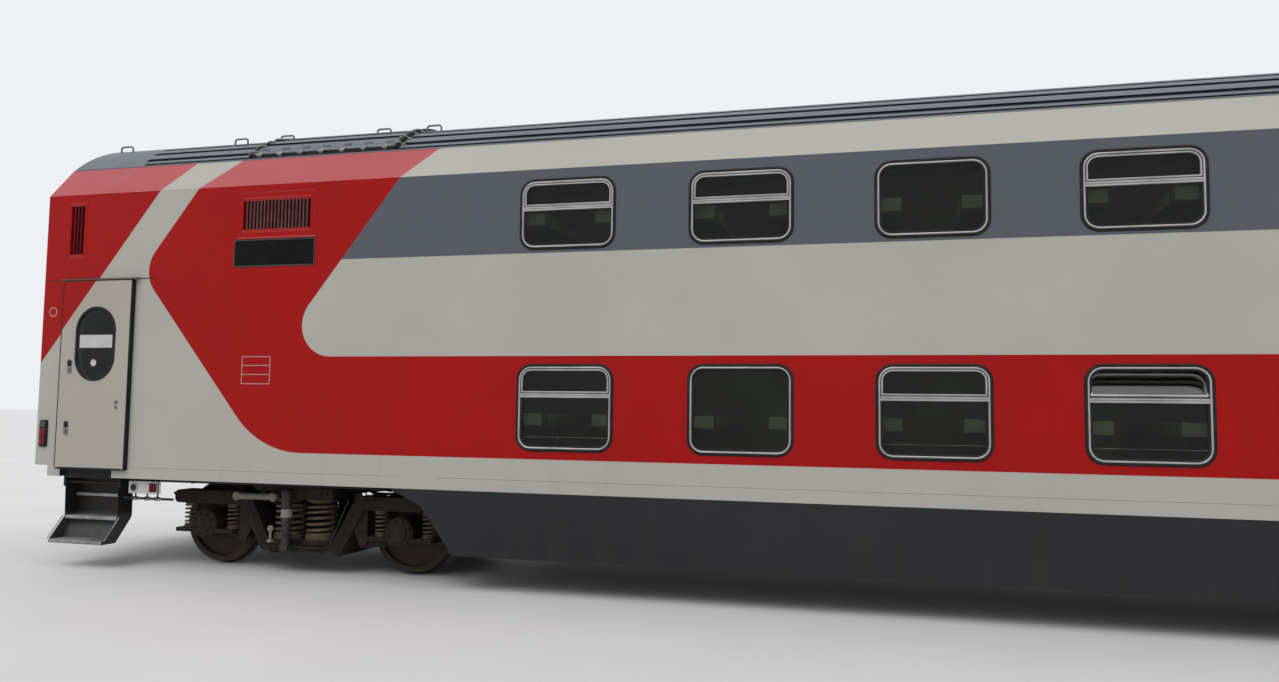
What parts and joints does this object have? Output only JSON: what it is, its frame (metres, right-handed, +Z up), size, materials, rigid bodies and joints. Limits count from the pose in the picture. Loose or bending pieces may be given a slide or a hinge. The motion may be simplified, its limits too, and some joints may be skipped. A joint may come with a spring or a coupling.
{
  "type": "double-deck passenger coach",
  "caption": "Double-deck sleeping coach with berth compartments, plug entry doors, folding steps, gangways and coil-sprung bogies for broad-gauge rails.",
  "frame": {"origin": "on the floor under the middle of the coach, at the lowest points of the wheel flanges; the rail head is 28 mm above it", "axes": "+X along the coach away from the entry doors, +Y to the corridor side, +Z up"},
  "size_m": [26.23, 3.38, 5.268],
  "materials": {
    "body_paint": "satin",
    "roof_paint": "satin",
    "chassis_black": "matte",
    "interior_panel": "matte",
    "dark_glass": "polished",
    "window_aluminium": "brushed",
    "door_paint": "satin",
    "bellows_rubber": "matte",
    "coupler_iron": "rough",
    "red_lens": "gloss",
    "grille_paint": "satin",
    "display_face": "gloss",
    "step_metal": "rough",
    "bogie_iron": "rough",
    "spring_steel": "matte",
    "damper_paint": "satin",
    "wheel_steel": "brushed"
  },
  "bodies": {
    "root": {"coupler_a": "coupler_iron", "coupler_b": "coupler_iron", "destination_displays": "display_face", "door_glass": "dark_glass", "end_wall_a": "body_paint", "end_wall_b": "body_paint", "entry_door_left": "door_paint", "entry_door_right": "door_paint", "gangway_a": "bellows_rubber", "gangway_b": "bellows_rubber", "interior_lower": "interior_panel", "interior_upper": "interior_panel", "lower_floor": "chassis_black", "roof": "roof_paint", "roof_hatches": "roof_paint", "side_wall_left": "body_paint", "side_wall_right": "body_paint", "step_brackets": "chassis_black", "tail_lamps": "red_lens", "underfloor_gear": "chassis_black", "underframe": "chassis_black", "upper_floor": "interior_panel", "vent_grilles": "grille_paint", "window_frames_left": "window_aluminium", "window_frames_right": "window_aluminium", "window_glass_left": "dark_glass", "window_glass_right": "dark_glass"},
    "bogie_a": {"axle_boxes_a": "bogie_iron", "bogie_bolster_a": "bogie_iron", "bogie_frame_a": "bogie_iron", "brake_calipers_a": "bogie_iron", "dampers_a": "damper_paint", "primary_springs_a": "spring_steel", "secondary_springs_a": "spring_steel"},
    "bogie_b": {"axle_boxes_b": "bogie_iron", "bogie_bolster_b": "bogie_iron", "bogie_frame_b": "bogie_iron", "brake_calipers_b": "bogie_iron", "dampers_b": "damper_paint", "primary_springs_b": "spring_steel", "secondary_springs_b": "spring_steel"},
    "end_door_a": {"end_door_a": "door_paint"},
    "end_door_b": {"end_door_b": "door_paint"},
    "entry_steps_left": {"entry_steps_left": "step_metal"},
    "entry_steps_right": {"entry_steps_right": "step_metal"},
    "wheelset_a1": {"wheelset_a1": "wheel_steel"},
    "wheelset_a2": {"wheelset_a2": "wheel_steel"},
    "wheelset_b1": {"wheelset_b1": "wheel_steel"},
    "wheelset_b2": {"wheelset_b2": "wheel_steel"}
  },
  "joints": [
    {"name": "bogie_a_turn", "type": "hinge", "parent": "root", "child": "bogie_a", "pos_m": [-9.5, 0, 0.888], "axis": [0, 0, 1], "range_deg": [-4, 4]},
    {"name": "wheelset_a1_spin", "type": "hinge", "parent": "bogie_a", "child": "wheelset_a1", "pos_m": [-10.75, 0, 0.5065], "axis": [0, 1, 0], "continuous": true},
    {"name": "wheelset_a2_spin", "type": "hinge", "parent": "bogie_a", "child": "wheelset_a2", "pos_m": [-8.25, 0, 0.5065], "axis": [0, 1, 0], "continuous": true},
    {"name": "end_door_a_slide", "type": "slide", "parent": "root", "child": "end_door_a", "axis": [0, 1, 0], "range_m": [0, 0.84]},
    {"name": "bogie_b_turn", "type": "hinge", "parent": "root", "child": "bogie_b", "pos_m": [9.5, 0, 0.888], "axis": [0, 0, 1], "range_deg": [-4, 4]},
    {"name": "wheelset_b1_spin", "type": "hinge", "parent": "bogie_b", "child": "wheelset_b1", "pos_m": [8.25, 0, 0.5065], "axis": [0, 1, 0], "continuous": true},
    {"name": "wheelset_b2_spin", "type": "hinge", "parent": "bogie_b", "child": "wheelset_b2", "pos_m": [10.75, 0, 0.5065], "axis": [0, 1, 0], "continuous": true},
    {"name": "end_door_b_slide", "type": "slide", "parent": "root", "child": "end_door_b", "axis": [0, 1, 0], "range_m": [0, 0.84]},
    {"name": "entry_steps_right_fold", "type": "hinge", "parent": "root", "child": "entry_steps_right", "pos_m": [-12.045, -1.45, 0.953], "axis": [1, 0, 0], "range_deg": [0, 65]},
    {"name": "entry_steps_left_fold", "type": "hinge", "parent": "root", "child": "entry_steps_left", "pos_m": [-12.045, 1.45, 0.953], "axis": [-1, 0, 0], "range_deg": [0, 65]}
  ]
}
